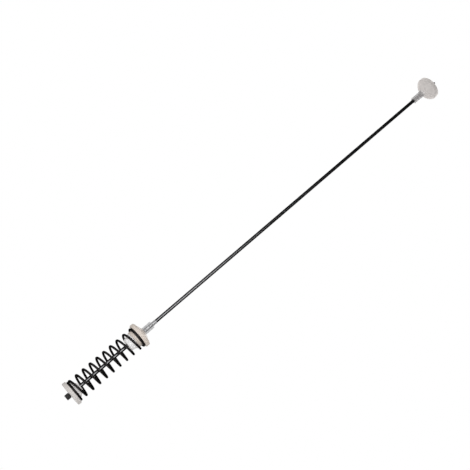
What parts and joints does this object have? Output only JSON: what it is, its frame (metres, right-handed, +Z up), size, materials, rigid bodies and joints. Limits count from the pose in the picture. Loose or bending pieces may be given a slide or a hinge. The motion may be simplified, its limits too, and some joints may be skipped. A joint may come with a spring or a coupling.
{
  "type": "washing machine suspension rod",
  "caption": "Hanging rod for a top-loading washer tub: ball head on top, sprung friction seat that slides on the steel rod, coil spring on a disc held by the flattened tip.",
  "frame": {"origin": "on the rod's axis, where the ball's dome meets its neck", "axes": "+Z up along the rod, from the spring end to the ball; X lies across the flat of the lower paddle, Y across the upper one"},
  "size_m": [0.0344, 0.0344, 0.6865],
  "materials": {
    "black_steel": "black phosphate with a thin oil film, semi-gloss",
    "spring_steel": "black coated wire, semi-gloss",
    "milky_plastic": "milky moulded nylon, satin, slightly translucent",
    "cream_plastic": "cream moulded plastic, satin",
    "pale_plastic": "off-white moulded plastic, satin",
    "white_plastic": "natural white moulded plastic, satin, slightly translucent"
  },
  "bodies": {
    "ball": {"ball_bushing": "milky_plastic"},
    "rod": {"suspension_rod": "black_steel", "lower_spring_seat": "pale_plastic", "coil_spring": "spring_steel"},
    "seat": {"upper_spring_seat": "cream_plastic", "friction_sleeve": "white_plastic"}
  },
  "joints": [
    {"name": "rod_turn", "type": "hinge", "parent": "ball", "child": "rod", "pos_m": [0, 0, 0], "axis": [0, 0, 1], "continuous": true},
    {"name": "seat_slide", "type": "slide", "parent": "rod", "child": "seat", "axis": [0, 0, 1], "range_m": [-0.055, 0], "stiffness_N_per_m": 3300, "deforming": ["coil_spring"]}
  ]
}
